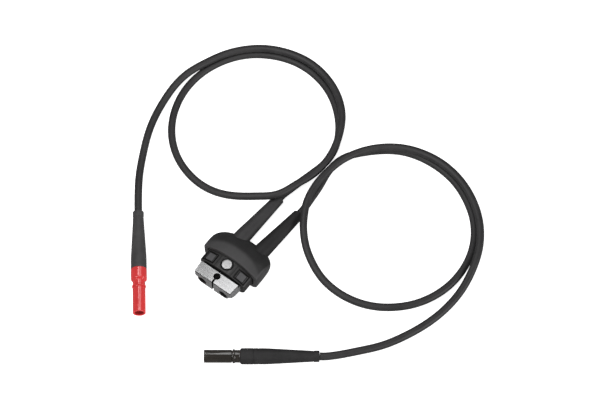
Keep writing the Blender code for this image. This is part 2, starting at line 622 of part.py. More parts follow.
# ============================================================ the plugs ====
for colour, look in (("red", RED), ("black", PLASTIC)):
    mouth, end = PLUG_AXIS[colour]
    rs, wall = SHROUD_DIA / 2, SHROUD_WALL
    rc = COLLAR_DIA / 2
    ax = (Vector(end) - Vector(mouth)).normalized()
    m, e = Vector(mouth), Vector(mouth) + ax * PLUG_LEN

    def at(h):
        return tuple(m + ax * h)

    # moulded body, its height measured back from the boot side to the mouth
    L = COLLAR_END
    body = turned("plug_body_" + colour,
                  [(rs - wall, L), (rs - 0.25, L), (rs, L - 0.25), (rs, L - SHROUD_LEN),
                   (rs + 0.35, L - SHROUD_LEN - 0.4), (rs + 0.35, L - SHROUD_LEN - 2.0),
                   (rs, L - SHROUD_LEN - 2.3), (rs, L - NECK_END), (rc - 0.5, L - NECK_END),
                   (rc, L - NECK_END - 0.5), (rc, 0.0), (3.6, 0.0), (3.6, 6.5), (1.9, 6.5),
                   (1.9, 13.0), (rs - wall, 13.6)],
                  at(L), at(0), 32)
    finish(body, look)
    pin = turned("plug_pin_" + colour,
                 [(0.0, 31.6), (0.9, 31.6), (PIN_DIA / 2, 30.6), (PIN_DIA / 2, 29.4), (1.15, 29.1), (1.15, 14.4),
                  (PIN_DIA / 2 + 0.05, 14.1), (PIN_DIA / 2 + 0.05, 6.0), (3.1, 5.8), (3.1, 0.2), (2.3, 0.0), (2.3, -0.8), (0.0, -0.8)],
                 at(L), at(0), 24)
    finish(pin, NICKEL)
    # sprung sleeve round the pin, bulged at the middle
    cage = turned("plug_spring_cage_" + colour,
                  [(1.75, 28.6), (2.0, 24.5), (2.06, 21.7), (2.0, 19.0), (1.75, 14.9),
                   (1.5, 14.9), (1.74, 19.0), (1.8, 21.7), (1.74, 24.5), (1.5, 28.6)],
                  at(L), at(0), 24)
    finish(cage, BRASS)
    # crimp ferrule behind the pin, inside the boot
    fer = turned("plug_ferrule_" + colour,
                 [(2.4, -1.2), (2.4, -11.5), (1.7, -11.5), (1.7, -2.6), (0.5, -2.2), (0.5, -1.2)],
                 at(L), at(0), 20)
    finish(fer, NICKEL)
    # tapered boot with a bore for the ferrule and the lead's end
    rt = PLUG_BOOT_TIP_DIA / 2
    B = PLUG_LEN - COLLAR_END - GAP
    prof = [(2.9, B), (rc, B), (rc, B - 9.0)]
    for k in range(1, 7):
        s = k / 7
        prof.append((rc + (rt - rc) * s, B - 9.0 - (B - 9.6) * s))
    prof += [(rt, 0.4), (rt - 0.35, 0.0), (1.4, 0.0), (1.4, B - 13.0), (2.9, B - 12.2)]
    pb = turned("plug_boot_" + colour, prof, tuple(e), tuple(m), 28)
    finish(pb, RUBBER)
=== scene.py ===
import math

import bmesh
import bpy
import numpy as np
from mathutils import Matrix, Vector


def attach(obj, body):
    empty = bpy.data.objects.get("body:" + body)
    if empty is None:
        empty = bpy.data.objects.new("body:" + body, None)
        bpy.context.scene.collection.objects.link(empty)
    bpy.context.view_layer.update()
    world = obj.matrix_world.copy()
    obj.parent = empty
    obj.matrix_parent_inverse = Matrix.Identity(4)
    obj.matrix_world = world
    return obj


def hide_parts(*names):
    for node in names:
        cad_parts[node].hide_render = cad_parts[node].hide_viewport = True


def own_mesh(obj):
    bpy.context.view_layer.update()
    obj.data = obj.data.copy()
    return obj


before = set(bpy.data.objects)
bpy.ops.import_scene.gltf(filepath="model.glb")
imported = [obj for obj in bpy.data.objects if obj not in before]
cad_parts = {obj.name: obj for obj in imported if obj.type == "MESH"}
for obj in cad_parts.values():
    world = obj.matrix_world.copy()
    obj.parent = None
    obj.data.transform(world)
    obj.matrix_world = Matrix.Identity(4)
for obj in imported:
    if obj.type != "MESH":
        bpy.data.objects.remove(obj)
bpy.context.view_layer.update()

MM = 0.001
scene = bpy.context.scene
VIS = bpy.data.collections.new("looks")
scene.collection.children.link(VIS)

# ===================================================================== camera
cam_data = bpy.data.cameras.new("camera")
cam = bpy.data.objects.new("camera", cam_data)
VIS.objects.link(cam)
AZ, EL, DIST = math.radians(36.43), math.radians(62.53), 1.4373
TARGET = Vector((0.01149, 0.07726, 0.0))
back = Vector((math.sin(AZ) * math.cos(EL), -math.cos(AZ) * math.cos(EL), math.sin(EL)))
cam.location = TARGET + back * DIST
cam.rotation_mode = "QUATERNION"
cam.rotation_quaternion = (-back).to_track_quat("-Z", "Y")
cam_data.sensor_width = 36.0
cam_data.lens = 1901.5 / 615 * 36.0
cam_data.clip_start, cam_data.clip_end = 0.05, 20.0
scene.camera = cam

# ======================================================= shared measurements
HOOD_HALF_W, HOOD_ARCH_R, HOOD_FOOT_R, CREASE = 24.4, 60.0, 10.0, 2.0
LIP_Y, LIP_SWEEP = -1.25, 1.7
INSERT_FRONT_Y, INSERT_HALF_W, INSERT_TOP_Z, INSERT_BOTTOM_Z, INSERT_REAR_Y = -12.5, 20.2, 22.0, 4.4, 5.0
INSERT_ARCH_R, INSERT_FOOT_R, INSERT_CREASE = 48.0, 7.0, 1.6
HEAD_FRONT_Y, HEAD_REAR_Y = -24.0, 24.0
BLOCK_HALF_W_FRONT, BLOCK_HALF_W_REAR, BLOCK_REAR_Y, BLOCK_BOTTOM_Z = 16.2, 16.9, -12.8, 8.4
PLATE_TOP_Z, PLATE_THICK, PLATE_REAR_Y = 21.9, 1.0, -14.9
SOCKET_PITCH, SOCKET_Z, SOCKET_BORE = 19.05, 12.6, 7.0
KEY_HOLE_Y, KEY_HOLE_DIA, KEY_SLIT = -18.2, 5.3, 1.5
BUTTON_Y, BUTTON_DIA, BUTTON_TOP_Z = -6.3, 7.8, 22.5
BEZEL_OUTER, BEZEL_INNER = 9.4, 8.4
GAP, CORD_GAP = 0.3, 0.5
CABLE_DIA, CABLE_REST_Z, CABLE_PITCH_GAP = 5.8, 3.0, 0.4
BOOT_ROOT_DIA, BOOT_TIP_DIA = 12.4, 8.6
BOOT_START = {"left": (-9.9, 8.2, 9.0), "right": (8.6, 8.2, 9.0)}
BOOT_TIP = {"left": (-7.5, 66.4, 4.7), "right": (12.3, 64.2, 4.7)}
PLUG_LEN, SHROUD_DIA, SHROUD_LEN, SHROUD_WALL = 83.0, 9.4, 20.0, 1.3
NECK_END, COLLAR_DIA, COLLAR_END, PLUG_BOOT_TIP_DIA = 26.6, 11.8, 35.6, 8.3
PLUG_AXIS = {
    "black": ((26.4, -68.9, 6.4), (92.9, -19.5, 5.7)),
    "red": ((-32.5, -70.1, 6.4), (-85.8, -5.0, 5.7)),
}
ROUTE_LEFT = [
    (-6.6, 75), (-3.9, 86.5), (-0.2, 102), (1.8, 114), (0.6, 126.5), (-4.8, 139.5),
    (-13.5, 151), (-27.8, 162.8), (-44, 170), (-60.5, 172.4), (-76, 170.5),
    (-90, 165), (-102, 157), (-111.8, 146.3), (-119.2, 133), (-123.6, 117.5),
    (-124, 100), (-119.2, 81.5), (-109, 64.5), (-94, 51.4), (-76.5, 44),
    (-58.4, 42), (-41.6, 44.6), (-28, 50.6), (-18.6, 56.6), (-10.6, 63.2),
    (-5.3, 71.6), (-2, 82), (1.2, 93), (3.3, 104.5), (3.3, 116), (0.8, 128.5),
    (-5.6, 144), (-13.7, 155.5), (-28, 167), (-46.8, 174.2), (-64, 175.4),
    (-80.5, 171.8), (-95, 164.8), (-107, 154.8), (-116.8, 142.2), (-124, 127.4),
    (-129.6, 112), (-131.9, 95), (-130.2, 77), (-124.5, 57), (-115, 37),
    (-102.7, 16.7),
]
ROUTE_RIGHT = [
    (12.3, 74), (11.5, 84), (10.4, 94.5), (8.6, 105), (8.3, 114.5), (11.5, 126.5),
    (19.5, 137.2), (30, 147.3), (43.2, 155.8), (58.5, 160.3), (74.8, 161),
    (91.5, 157.8), (107.4, 150), (121.5, 138.3), (131.9, 122.4), (136.8, 104.5),
    (136.6, 86.7), (132.2, 70.8), (124.4, 57), (114, 46), (101.8, 37.7),
    (87.5, 32.5), (72.2, 31), (56, 33.7), (40.3, 40.8), (30.6, 48),
    (22.8, 56.8), (17.2, 65.5), (13, 74), (10.2, 85), (9.2, 97), (9.9, 107),
    (12.2, 119), (19.1, 133.5), (30, 146.4), (43.5, 155.9), (59, 161.3),
    (76.4, 162.7), (94, 159.3), (110.9, 151.2), (125.8, 138.7), (137, 122.5),
    (143.2, 105), (145.8, 86), (144.5, 65.5), (139.4, 46), (130.5, 26),
    (118.7, 8),
]


# ================================================================= materials
def nodes_of(name):
    m = bpy.data.materials.new(name)
    m.use_nodes = True
    nt = m.node_tree
    return m, nt, nt.nodes["Principled BSDF"]


def coords(nt, scale=(1, 1, 1), rot=(0, 0, 0)):
    tc = nt.nodes.new("ShaderNodeTexCoord")
    mp = nt.nodes.new("ShaderNodeMapping")
    mp.inputs["Scale"].default_value = scale
    mp.inputs["Rotation"].default_value = rot
    nt.links.new(tc.outputs["Object"], mp.inputs["Vector"])
    return mp.outputs["Vector"]


def noise(nt, vec, scale, detail=3.0, rough=0.5):
    n = nt.nodes.new("ShaderNodeTexNoise")
    n.inputs["Scale"].default_value = scale
    n.inputs["Detail"].default_value = detail
    n.inputs["Roughness"].default_value = rough
    nt.links.new(vec, n.inputs["Vector"])
    return n.outputs["Fac"]


def ramp(nt, fac, a, b, lo=0.3, hi=0.7):
    r = nt.nodes.new("ShaderNodeMapRange")
    r.inputs["From Min"].default_value = lo
    r.inputs["From Max"].default_value = hi
    r.inputs["To Min"].default_value = a
    r.inputs["To Max"].default_value = b
    nt.links.new(fac, r.inputs["Value"])
    return r.outputs["Result"]


def colour_mix(nt, fac, a, b):
    m = nt.nodes.new("ShaderNodeMix")
    m.data_type = "RGBA"
    nt.links.new(fac, m.inputs["Factor"])
    m.inputs["A"].default_value = (*a, 1.0)
    m.inputs["B"].default_value = (*b, 1.0)
    return m.outputs["Result"]


def bump(nt, height, strength, distance, normal=None):
    b = nt.nodes.new("ShaderNodeBump")
    b.inputs["Strength"].default_value = strength
    b.inputs["Distance"].default_value = distance
    nt.links.new(height, b.inputs["Height"])
    if normal is not None:
        nt.links.new(normal, b.inputs["Normal"])
    return b.outputs["Normal"]


def moulded(name, dark, light, rough=(0.5, 0.62), grain=900.0, depth=0.00004, metallic=0.0,
            mottle=90.0, coat=0.0, spec=0.5, strength=0.35):
    """Moulded plastic or rubber: spark-eroded grain, faint blotches, uneven sheen."""
    m, nt, p = nodes_of(name)
    v = coords(nt)
    blot = noise(nt, v, mottle, 4.0, 0.6)
    fine = noise(nt, v, grain, 2.0, 0.6)
    fac = ramp(nt, blot, 0.0, 1.0, 0.32, 0.68)
    nt.links.new(colour_mix(nt, fac, dark, light), p.inputs["Base Color"])
    nt.links.new(ramp(nt, blot, rough[0], rough[1]), p.inputs["Roughness"])
    nt.links.new(bump(nt, fine, strength, depth), p.inputs["Normal"])
    p.inputs["Metallic"].default_value = metallic
    p.inputs["Specular IOR Level"].default_value = spec
    p.inputs["Coat Weight"].default_value = coat
    p.inputs["Coat Roughness"].default_value = 0.12
    return m


def calc(nt, op, a, b=None):
    n = nt.nodes.new("ShaderNodeMath")
    n.operation = op
    for k, v in enumerate((a, b)):
        if v is None:
            continue
        if isinstance(v, (int, float)):
            n.inputs[k].default_value = v
        else:
            nt.links.new(v, n.inputs[k])
    return n.outputs[0]


def step(nt, value, lo, hi):
    r = nt.nodes.new("ShaderNodeMapRange")
    r.interpolation_type = "SMOOTHSTEP"
    r.inputs["From Min"].default_value = lo
    r.inputs["From Max"].default_value = hi
    nt.links.new(value, r.inputs["Value"])
    return r.outputs["Result"]


def paint_shade_zones(m, start, end, low):
    """Painted shade: darkens the colour on the slope towards the boots, which starts earlier at the sides; the band
    behind the lip and the side walls keep their full colour."""
    nt = m.node_tree
    p = nt.nodes["Principled BSDF"]
    src = p.inputs["Base Color"].links[0].from_socket
    tc = nt.nodes.new("ShaderNodeTexCoord")
    sep = nt.nodes.new("ShaderNodeSeparateXYZ")
    nt.links.new(tc.outputs["Object"], sep.inputs[0])
    x2 = calc(nt, "MULTIPLY", sep.outputs["X"], sep.outputs["X"])
    slope = step(nt, calc(nt, "ADD", sep.outputs["Y"], calc(nt, "MULTIPLY", x2, 13.0)), start, end)
    wall = step(nt, calc(nt, "ABSOLUTE", sep.outputs["X"]), 0.0225, 0.0235)
    dark = calc(nt, "MULTIPLY", slope, calc(nt, "SUBTRACT", 1.0, wall))
    keep = calc(nt, "SUBTRACT", 1.0, calc(nt, "MULTIPLY", dark, 1.0 - low))
    mul = nt.nodes.new("ShaderNodeMix")
    mul.data_type = "RGBA"
    mul.blend_type = "MULTIPLY"
    mul.inputs["Factor"].default_value = 1.0
    nt.links.new(src, mul.inputs["A"])
    nt.links.new(keep, mul.inputs["B"])
    nt.links.new(mul.outputs["Result"], p.inputs["Base Color"])
    return m


def worn(m, pale, amount=0.5):
    """Pale rubbed edges, broken up by a noise."""
    nt = m.node_tree
    p = nt.nodes["Principled BSDF"]
    src = p.inputs["Base Color"].links[0].from_socket
    geo = nt.nodes.new("ShaderNodeNewGeometry")
    edge = step(nt, geo.outputs["Pointiness"], 0.52, 0.60)
    patch = ramp(nt, noise(nt, coords(nt), 420.0, 4.0, 0.6), 0.35, 1.0, 0.35, 0.65)
    fac = calc(nt, "MULTIPLY", calc(nt, "MULTIPLY", edge, patch), amount)
    mx = nt.nodes.new("ShaderNodeMix")
    mx.data_type = "RGBA"
    nt.links.new(fac, mx.inputs["Factor"])
    nt.links.new(src, mx.inputs["A"])
    mx.inputs["B"].default_value = (*pale, 1.0)
    nt.links.new(mx.outputs["Result"], p.inputs["Base Color"])
    return m


def brushed(name, dark, light, rough, scale=(1, 1, 1), fine=2500.0, depth=0.000004, strength=0.12):
    """Brushed metal: long fine scratches along one direction."""
    m, nt, p = nodes_of(name)
    v = coords(nt, scale)
    s1 = noise(nt, v, fine, 5.0, 0.65)
    s2 = noise(nt, coords(nt), 60.0, 3.0, 0.5)
    nt.links.new(colour_mix(nt, ramp(nt, s1, 0.0, 1.0, 0.35, 0.65), dark, light), p.inputs["Base Color"])
    nt.links.new(ramp(nt, s2, rough[0], rough[1]), p.inputs["Roughness"])
    nt.links.new(bump(nt, s1, strength, depth), p.inputs["Normal"])
    p.inputs["Metallic"].default_value = 1.0
    return m


M_HOOD = moulded("rubber_overmould", (0.039, 0.038, 0.039), (0.052, 0.051, 0.052), (0.56, 0.68), 1500.0, 0.00003, spec=0.40)
# Painted shade on the hood: its rear slope is darkened in the colour.
paint_shade_zones(M_HOOD, 0.0065, 0.0105, 0.45)
M_BOOT = moulded("rubber_boot", (0.028, 0.027, 0.028), (0.038, 0.037, 0.038), (0.54, 0.66), 1500.0, 0.00003, spec=0.40)
# Painted shade: the right boot is a darker copy of the boot rubber.
M_BOOT_SHADED = moulded("rubber_boot_painted_shade", (0.013, 0.0125, 0.013), (0.020, 0.0195, 0.020), (0.58, 0.68), 1500.0, 0.00003, spec=0.30)
M_CABLE = moulded("silicone_lead", (0.022, 0.021, 0.022), (0.032, 0.031, 0.032), (0.50, 0.60), 2200.0, 0.00002, spec=0.40)
# Painted light and shade: both plug grips are one black rubber, the black plug's grip made darker and the red plug's
# grip paler.
M_PLUGBOOT = moulded("rubber_plug_boot", (0.015, 0.0145, 0.015), (0.027, 0.026, 0.027), (0.54, 0.68), 1100.0, 0.00006, spec=0.32, strength=0.6)
M_PLUGBOOT_LIT = moulded("rubber_plug_boot_painted_light", (0.040, 0.039, 0.040), (0.058, 0.057, 0.058), (0.54, 0.68), 1100.0, 0.00006, spec=0.40, strength=0.6)
M_INSERT = moulded("satin_plastic", (0.019, 0.018, 0.018), (0.027, 0.026, 0.026), (0.46, 0.56), 1800.0, 0.00003, spec=0.36)
M_PAD = moulded("inlay_plastic", (0.064, 0.063, 0.066), (0.082, 0.081, 0.084), (0.48, 0.58), 1600.0, 0.00003)
# Near-black finish: the own colour of dark inner parts, and painted shade in bores, recesses, grooves, gaps and end
# faces.
M_DARK_AND_SHADE = moulded("dark_liner", (0.006, 0.006, 0.006), (0.010, 0.010, 0.010), (0.45, 0.55), 1800.0, 0.00002, spec=0.3)
M_BLOCK = moulded("cast_block", (0.38, 0.38, 0.385), (0.46, 0.46, 0.465), (0.34, 0.42), 1500.0, 0.00004, metallic=0.8)
M_GLOSS = moulded("gloss_black", (0.019, 0.016, 0.013), (0.026, 0.021, 0.017), (0.12, 0.16), 700.0, 0.00001, coat=0.9, strength=0.08)
M_RED = moulded("gloss_red", (0.66, 0.036, 0.038), (0.72, 0.046, 0.048), (0.18, 0.23), 700.0, 0.00001, coat=0.7, strength=0.08)
# Painted shade: a darker copy of the red plastic for the inside of the red plug's shell.
M_RED_BORE_SHADED = moulded("red_bore_painted_shade", (0.36, 0.016, 0.016), (0.44, 0.022, 0.022), (0.4, 0.5), 700.0, 0.00001)
M_PLATE = brushed("brushed_plate", (0.32, 0.32, 0.324), (0.39, 0.39, 0.392), (0.15, 0.19), (0.06, 1, 1))
M_DISC = brushed("brushed_disc", (0.26, 0.258, 0.26), (0.34, 0.337, 0.34), (0.32, 0.40), (0.08, 1, 1), 3000.0)
M_STEEL = brushed("spring_steel", (0.50, 0.50, 0.51), (0.62, 0.62, 0.63), (0.26, 0.34), (1, 1, 0.1), 1500.0)
M_BRASS = brushed("brass_tube", (0.62, 0.44, 0.17), (0.74, 0.55, 0.26), (0.24, 0.34), (1, 1, 1), 900.0)
M_NICKEL = brushed("nickel_plate", (0.56, 0.55, 0.52), (0.68, 0.67, 0.64), (0.18, 0.26), (1, 1, 1), 900.0)


for mat, pale, amount in ((M_INSERT, (0.075, 0.074, 0.075), 0.6), (M_BLOCK, (0.62, 0.62, 0.625), 0.6),
                          (M_PLATE, (0.54, 0.54, 0.545), 0.5), (M_PAD, (0.13, 0.13, 0.133), 0.5),
                          (M_RED, (0.80, 0.14, 0.14), 0.3), (M_GLOSS, (0.05, 0.046, 0.04), 0.4)):
    worn(mat, pale, amount)


def paint(ob, m):
    ob.data.materials.clear()
    ob.data.materials.append(m)


def paint_where(ob, m, test):
    """Gives the faces whose centre and normal pass `test` (millimetres) a second material."""
    ob.data.materials.append(m)
    k = len(ob.data.materials) - 1
    for f in ob.data.polygons:
        c = f.center / MM
        if test(c, f.normal):
            f.material_index = k


# ============================================================ mesh utilities
def add(name, mesh, m=None):
    ob = bpy.data.objects.new(name, mesh)
    VIS.objects.link(ob)
    if m is not None:
        paint(ob, m)
    return ob


def from_bm(name, bm, m=None):
    me = bpy.data.meshes.new(name)
    bm.to_mesh(me)
    bm.free()
    return add(name, me, m)


def smooth(ob, angle=34.0):
    ob.data.shade_smooth()
    ob.data.set_sharp_from_angle(angle=math.radians(angle))
    return ob


def loft(name, rings, m=None):
    bm = bmesh.new()
    rows = [[bm.verts.new((x * MM, y * MM, z * MM)) for x, y, z in ring] for ring in rings]
    n = len(rows[0])
    for a, b in zip(rows, rows[1:]):
        for i in range(n):
            j = (i + 1) % n
            bm.faces.new((a[i], b[i], b[j], a[j]))
    bm.faces.new(rows[0])
    bm.faces.new(list(reversed(rows[-1])))
    bmesh.ops.recalc_face_normals(bm, faces=bm.faces)
    return from_bm(name, bm, m)


def box(name, lo, hi):
    bm = bmesh.new()
    bmesh.ops.create_cube(bm, size=1.0)
    lo, hi = Vector(lo) * MM, Vector(hi) * MM
    bmesh.ops.scale(bm, vec=hi - lo, verts=bm.verts)
    bmesh.ops.translate(bm, vec=(hi + lo) / 2, verts=bm.verts)
    return from_bm(name, bm)


def cylinder(name, p0, p1, r0, r1=None, segments=96):
    p0, p1 = Vector(p0) * MM, Vector(p1) * MM
    axis = p1 - p0
    bm = bmesh.new()
    bmesh.ops.create_cone(bm, cap_ends=True, segments=segments, radius1=r0 * MM,
                          radius2=(r0 if r1 is None else r1) * MM, depth=axis.length)
    bmesh.ops.transform(bm, verts=bm.verts,
                        matrix=Matrix.Translation((p0 + p1) / 2) @ axis.to_track_quat("Z", "Y").to_matrix().to_4x4())
    return from_bm(name, bm)


def carve(ob, cutters, op="DIFFERENCE"):
    """Applies exact Booleans and removes the cutters."""
    for c in cutters:
        md = ob.modifiers.new("b", "BOOLEAN")
        md.operation = op
        md.solver = "EXACT"
        md.object = c
    bpy.context.view_layer.update()
    me = bpy.data.meshes.new_from_object(ob.evaluated_get(bpy.context.evaluated_depsgraph_get()))
    ob.modifiers.clear()
    ob.data = me
    for c in cutters:
        bpy.data.objects.remove(c, do_unlink=True)
    return ob


def soften(ob, width, segments=3, angle=32.0, shade=40.0):
    """Rounds the edges sharper than `angle` and applies it."""
    bm = bmesh.new()
    bm.from_mesh(ob.data)
    bmesh.ops.remove_doubles(bm, verts=bm.verts, dist=0.000004)
    bmesh.ops.dissolve_degenerate(bm, edges=bm.edges, dist=0.000004)
    bm.to_mesh(ob.data)
    bm.free()
    md = ob.modifiers.new("bevel", "BEVEL")
    md.width = width * MM
    md.segments = segments
    md.limit_method = "ANGLE"
    md.angle_limit = math.radians(angle)
    md.use_clamp_overlap = True
    md.miter_outer = "MITER_ARC"
    bpy.context.view_layer.update()
    me = bpy.data.meshes.new_from_object(ob.evaluated_get(bpy.context.evaluated_depsgraph_get()))
    ob.modifiers.clear()
    ob.data = me
    smooth(ob, shade)
    wn = ob.modifiers.new("weighted", "WEIGHTED_NORMAL")
    wn.keep_sharp = True
    wn.weight = 100
    bpy.context.view_layer.update()
    me = bpy.data.meshes.new_from_object(ob.evaluated_get(bpy.context.evaluated_depsgraph_get()))
    ob.modifiers.clear()
    ob.data = me
    return ob


def fillet(profile, radii, steps=5):
    """Rounds the corners of a (radius, height) outline."""
    out = []
    n = len(profile)
    for i, (p, r) in enumerate(zip(profile, radii)):
        p = np.array(p, float)
        if r <= 0 or i in (0, n - 1):
            out.append(tuple(p))
            continue
        a, b = np.array(profile[i - 1], float), np.array(profile[i + 1], float)
        u, v = a - p, b - p
        lu, lv = np.linalg.norm(u), np.linalg.norm(v)
        d = min(r, lu * 0.48, lv * 0.48)
        s, e = p + u / lu * d, p + v / lv * d
        for k in range(steps + 1):
            t = k / steps
            out.append(tuple((1 - t) ** 2 * s + 2 * t * (1 - t) * p + t * t * e))
    return out


def lathe(name, profile, p0, p1, m, steps=96, closed=None):
    """Spins a (radius, height) outline about the line p0 to p1."""
    p0, p1 = Vector(p0) * MM, Vector(p1) * MM
    mat4 = Matrix.Translation(p0) @ (p1 - p0).to_track_quat("Z", "Y").to_matrix().to_4x4()
    bm = bmesh.new()
    ring = closed if closed is not None else (profile[0][0] > 0 and profile[-1][0] > 0)
    cols = []
    for k in range(steps):
        a = 2 * math.pi * k / steps
        col = []
        for r, h in profile:
            if r <= 1e-9:
                col.append(None)
            else:
                col.append(bm.verts.new((r * MM * math.cos(a), r * MM * math.sin(a), h * MM)))
        cols.append(col)
    poles = {i: bm.verts.new((0, 0, h * MM)) for i, (r, h) in enumerate(profile) if r <= 1e-9}
    n = len(profile)
    for k in range(steps):
        c, d = cols[k], cols[(k + 1) % steps]
        for i in range(n if ring else n - 1):
            j = (i + 1) % n
            quad = []
            for v in (c[i] or poles.get(i), c[j] or poles.get(j), d[j] or poles.get(j), d[i] or poles.get(i)):
                if v not in quad:
                    quad.append(v)
            if len(quad) > 2:
                bm.faces.new(quad)
    bmesh.ops.transform(bm, verts=bm.verts, matrix=mat4)
    bmesh.ops.recalc_face_normals(bm, faces=bm.faces)
    return smooth(from_bm(name, bm, m), 38.0)


def section(y, half_w, top_z, bottom_z, arch_r, foot_r, crease, sweep=0.0, n=64):
    """Section across the head: a shallow arch, a soft edge, an upright wall and
    a round foot on a flat base."""
    def arch(x):
        return top_z - arch_r + math.sqrt(arch_r ** 2 - x * x)

    xe = half_w - crease
    right = []
    for k in range(11):
        t = k / 10
        a, c, b = (half_w, arch(half_w) - crease), (half_w, arch(half_w)), (xe, arch(xe))
        right.append(tuple((1 - t) ** 2 * p + 2 * t * (1 - t) * q + t * t * r for p, q, r in zip(a, c, b)))
    wall_top, wall_foot = right[0][1], bottom_z + foot_r
    right = [(half_w, wall_foot + (wall_top - wall_foot) * k / 5) for k in range(1, 5)] + right
    top = [(xe * (1 - 2 * k / n), arch(xe * (1 - 2 * k / n))) for k in range(1, n)]
    left = [(-x, z) for x, z in reversed(right)]
    foot = []
    for k in range(15):
        a = math.radians(180 + 90 * k / 14)
        foot.append((-half_w + foot_r + foot_r * math.cos(a), bottom_z + foot_r + foot_r * math.sin(a)))
    flat = half_w - foot_r
    foot += [(-flat + 2 * flat * k / 10, bottom_z) for k in range(1, 10)]
    foot += [(-x, z) for x, z in reversed(foot[:15])]
    return [(x, y - sweep * (x / HOOD_HALF_W) ** 2, z) for x, z in right + top + left + foot]


def insert_section(y, grow=0.0, trim=0.0):
    return section(y, INSERT_HALF_W + grow - trim, INSERT_TOP_Z + grow - trim, INSERT_BOTTOM_Z - grow + trim,
                   INSERT_ARCH_R, INSERT_FOOT_R, INSERT_CREASE)


# ================================================================= the leads
def spline(points, step):
    p = np.array(points, dtype=float)
    t = np.concatenate([[0.0], np.cumsum(np.sqrt(np.linalg.norm(np.diff(p, axis=0), axis=1)))])
    n = len(p)
    h = np.diff(t)
    a = np.zeros((n, n))
    r = np.zeros_like(p)
    a[0, 0] = a[-1, -1] = 1.0
    for i in range(1, n - 1):
        a[i, i - 1] = h[i - 1]
        a[i, i] = 2 * (h[i - 1] + h[i])
        a[i, i + 1] = h[i]
        r[i] = 6 * ((p[i + 1] - p[i]) / h[i] - (p[i] - p[i - 1]) / h[i - 1])
    m = np.linalg.solve(a, r)
    out = []
    for i in range(n - 1):
        for j in range(40):
            u = t[i] + h[i] * j / 40
            x, y = t[i + 1] - u, u - t[i]
            out.append((m[i] * x ** 3 + m[i + 1] * y ** 3) / (6 * h[i])
                       + (p[i] / h[i] - m[i] * h[i] / 6) * x
                       + (p[i + 1] / h[i] - m[i + 1] * h[i] / 6) * y)
    out.append(p[-1])
    return resample(np.array(out), step)


def resample(p, step):
    d = np.concatenate([[0.0], np.cumsum(np.linalg.norm(np.diff(p, axis=0), axis=1))])
    n = max(2, int(round(d[-1] / step)) + 1)
    s = np.linspace(0.0, d[-1], n)
    return np.stack([np.interp(s, d, p[:, k]) for k in range(p.shape[1])], axis=1)


def boot_axis(side):
    return np.array(BOOT_START[side]), np.array(BOOT_TIP[side])


def lay_cable(side, colour, route):
    b0, b1 = boot_axis(side)
    out_dir = (b1 - b0) / np.linalg.norm(b1 - b0)
    mouth, end = (np.array(v) for v in PLUG_AXIS[colour])
    in_dir = (mouth - end) / np.linalg.norm(mouth - end)
    end = mouth - in_dir * PLUG_LEN
    start = b1 + out_dir * CORD_GAP
    stop = end - in_dir * CORD_GAP
    plan = [tuple(start[:2]), tuple((start + out_dir * 4.0)[:2])]
    plan += list(route)
    plan += [tuple((stop - in_dir * 5.0)[:2]), tuple(stop[:2])]
    p = spline(plan, 1.0)
    n = len(p)
    rest = np.full(n, CABLE_REST_Z)
    for i in range(min(n, 36)):
        w = 0.5 + 0.5 * math.cos(math.pi * i / 36)
        rest[i] += w * (start[2] - CABLE_REST_Z + out_dir[2] * min(i, 10))
        rest[n - 1 - i] += w * (stop[2] - CABLE_REST_Z - in_dir[2] * min(i, 10))
    need = rest.copy()
    pitch = CABLE_DIA + CABLE_PITCH_GAP
    for i in range(70, n):
        d = np.hypot(p[:i - 70 + 1, 0] - p[i, 0], p[:i - 70 + 1, 1] - p[i, 1])
        near = np.flatnonzero(d < pitch)
        if len(near):
            need[i] = max(need[i], (rest[near] + np.sqrt(pitch ** 2 - d[near] ** 2)).max())
    for t in np.linspace(0.25, 1.0, 60):
        c = b0 + (b1 - b0) * t
        reach = 0.5 * (BOOT_ROOT_DIA + (BOOT_TIP_DIA - BOOT_ROOT_DIA) * t) + CABLE_DIA / 2 + CABLE_PITCH_GAP
        d = np.hypot(p[:, 0] - c[0], p[:, 1] - c[1])
        for i in np.flatnonzero(d < reach):
            if i > 70:
                need[i] = max(need[i], c[2] + math.sqrt(reach ** 2 - d[i] ** 2))
    z = np.array([need[max(0, i - 14):i + 15].max() for i in range(n)])
    for i in range(1, n):
        z[i] = max(z[i], z[i - 1] - 0.22)
    for i in range(n - 2, -1, -1):
        z[i] = max(z[i], z[i + 1] - 0.22)
    for _ in range(2):
        pad = np.concatenate([np.full(7, z[0]), z, np.full(7, z[-1])])
        z = np.convolve(pad, np.ones(15) / 15, mode="valid")
    for i in range(36):
        w = 0.5 + 0.5 * math.cos(math.pi * i / 36)
        z[i] = w * rest[i] + (1 - w) * z[i]
        z[n - 1 - i] = w * rest[n - 1 - i] + (1 - w) * z[n - 1 - i]
    path = np.column_stack([p, z])
    path[0] = start
    path[-1] = stop
    return path


def cable(name, pts, radius, m, resolution=8):
    cu = bpy.data.curves.new(name, "CURVE")
    cu.dimensions = "3D"
    cu.bevel_depth = radius * MM
    cu.bevel_resolution = resolution
    cu.use_fill_caps = True
    cu.resolution_u = 1
    sp = cu.splines.new("POLY")
    sp.points.add(len(pts) - 1)
    for q, v in zip(sp.points, pts):
        q.co = (v[0] * MM, v[1] * MM, v[2] * MM, 1.0)
    sp.use_smooth = True
    ob = bpy.data.objects.new(name, cu)
    VIS.objects.link(ob)
    cu.materials.append(m)
    return ob


LEADS = {}
for side, colour, route in (("left", "red", ROUTE_LEFT), ("right", "black", ROUTE_RIGHT)):
    path = lay_cable(side, colour, route)
    pts = resample(path, 2.5)
    ob = cable("lead_" + side, pts, CABLE_DIA / 2, M_CABLE)
    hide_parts("cable_" + side)
    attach(ob, "head")
    length = float(np.linalg.norm(np.diff(path, axis=0), axis=1).sum())
    LEADS[side] = (ob, colour, path, length)

